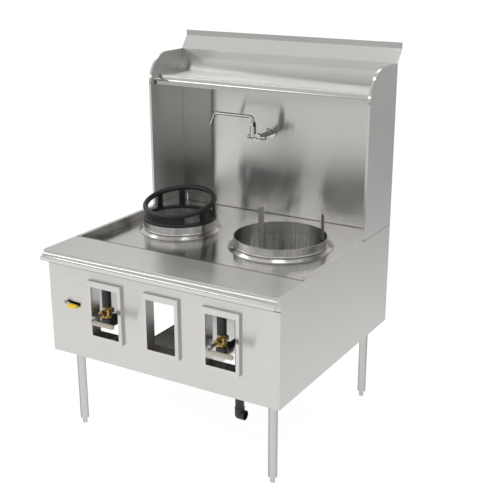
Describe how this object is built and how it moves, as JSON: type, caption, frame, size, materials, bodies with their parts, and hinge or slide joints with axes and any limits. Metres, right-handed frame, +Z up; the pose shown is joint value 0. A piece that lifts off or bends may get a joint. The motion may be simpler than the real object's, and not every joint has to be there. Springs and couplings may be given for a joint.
{
  "type": "wok range",
  "caption": "Stainless wok range with open knee-valve bays, raised collars over fire chambers, a lift-off cast ring, a riser with shelf and a wall-mounted swing faucet.",
  "frame": {"origin": "on the floor, under the centre of the bounding box", "axes": "+X to the right seen from the front, +Y to the back, +Z up"},
  "size_m": [1.2192, 1.275, 1.803],
  "materials": {
    "sheet_steel": "brushed stainless sheet",
    "bright_steel": "polished",
    "tube_steel": "satin tube",
    "cast_iron": "dark matt casting",
    "black_iron": "black pipe coating",
    "brass": "plain",
    "copper_pipe": "plated pipe",
    "cream_grip": "satin sleeve",
    "yellow_grip": "dipped vinyl",
    "zinc": "zinc plated"
  },
  "bodies": {
    "range": {"front_panel": "sheet_steel", "side_panel_left": "sheet_steel", "side_panel_right": "sheet_steel", "rear_panel": "sheet_steel", "deck": "sheet_steel", "front_ledge": "sheet_steel", "backsplash": "sheet_steel", "cheek_left": "sheet_steel", "cheek_right": "sheet_steel", "shelf": "sheet_steel", "top_deflector": "sheet_steel", "opening_frame_left": "sheet_steel", "opening_frame_centre": "sheet_steel", "opening_frame_right": "sheet_steel", "collar_left": "sheet_steel", "collar_right": "sheet_steel", "chamber_tabs": "sheet_steel", "chamber_drum_left": "sheet_steel", "chamber_drum_right": "sheet_steel", "corner_gussets": "sheet_steel", "deck_bearers": "sheet_steel", "floor_pan": "sheet_steel", "partition": "sheet_steel", "burner_left": "cast_iron", "burner_right": "cast_iron", "burner_jets_left": "brass", "burner_jets_right": "brass", "knee_valve_left": "brass", "knee_valve_right": "brass", "water_valve": "brass", "slot_guard": "black_iron", "gas_manifold": "black_iron", "gas_supply_pipe": "black_iron", "burner_pipe_left": "black_iron", "burner_pipe_right": "black_iron", "drain_pipe": "black_iron", "drain_elbow": "black_iron", "water_pipe": "copper_pipe", "faucet_body": "bright_steel", "faucet_nut": "bright_steel", "leg_front_left": "tube_steel", "leg_front_right": "tube_steel", "leg_rear_left": "tube_steel", "leg_rear_right": "tube_steel"},
    "knee_lever_left": {"knee_lever_left": "zinc", "knee_sleeve_left": "cream_grip"},
    "knee_lever_right": {"knee_lever_right": "zinc", "knee_sleeve_right": "cream_grip"},
    "water_lever": {"water_lever": "zinc", "water_lever_grip": "yellow_grip", "water_lever_nut": "zinc"},
    "faucet_spout": {"faucet_spout": "bright_steel", "faucet_aerator": "bright_steel"},
    "faucet_handle": {"faucet_handle": "bright_steel"},
    "wok_ring": {"wok_ring": "cast_iron"},
    "foot_front_left": {"foot_front_left": "tube_steel"},
    "foot_front_right": {"foot_front_right": "tube_steel"},
    "foot_rear_left": {"foot_rear_left": "tube_steel"},
    "foot_rear_right": {"foot_rear_right": "tube_steel"}
  },
  "joints": [
    {"name": "knee_lever_left_turn", "type": "hinge", "parent": "range", "child": "knee_lever_left", "pos_m": [-0.299, -0.5765, 0.658], "axis": [0, 1, 0], "range_deg": [0, 90]},
    {"name": "knee_lever_right_turn", "type": "hinge", "parent": "range", "child": "knee_lever_right", "pos_m": [0.316, -0.5765, 0.658], "axis": [0, 1, 0], "range_deg": [0, 90]},
    {"name": "water_lever_turn", "type": "hinge", "parent": "range", "child": "water_lever", "pos_m": [-0.511, -0.5485, 0.677], "axis": [0, 1, 0], "range_deg": [0, 90]},
    {"name": "faucet_spout_swing", "type": "hinge", "parent": "range", "child": "faucet_spout", "pos_m": [-0.084, 0.4335, 1.373], "axis": [0, 0, 1], "range_deg": [-25, 180]},
    {"name": "faucet_handle_turn", "type": "hinge", "parent": "range", "child": "faucet_handle", "pos_m": [-0.057, 0.5395, 1.3365], "axis": [0, 0, -1], "range_deg": [0, 90]},
    {"name": "wok_ring_lift", "type": "slide", "parent": "range", "child": "wok_ring", "axis": [0, 0, 1], "range_m": [0, 0.3]},
    {"name": "foot_front_left_level", "type": "slide", "parent": "range", "child": "foot_front_left", "axis": [0, 0, -1], "range_m": [0, 0.025]},
    {"name": "foot_front_right_level", "type": "slide", "parent": "range", "child": "foot_front_right", "axis": [0, 0, -1], "range_m": [0, 0.025]},
    {"name": "foot_rear_left_level", "type": "slide", "parent": "range", "child": "foot_rear_left", "axis": [0, 0, -1], "range_m": [0, 0.025]},
    {"name": "foot_rear_right_level", "type": "slide", "parent": "range", "child": "foot_rear_right", "axis": [0, 0, -1], "range_m": [0, 0.025]}
  ]
}
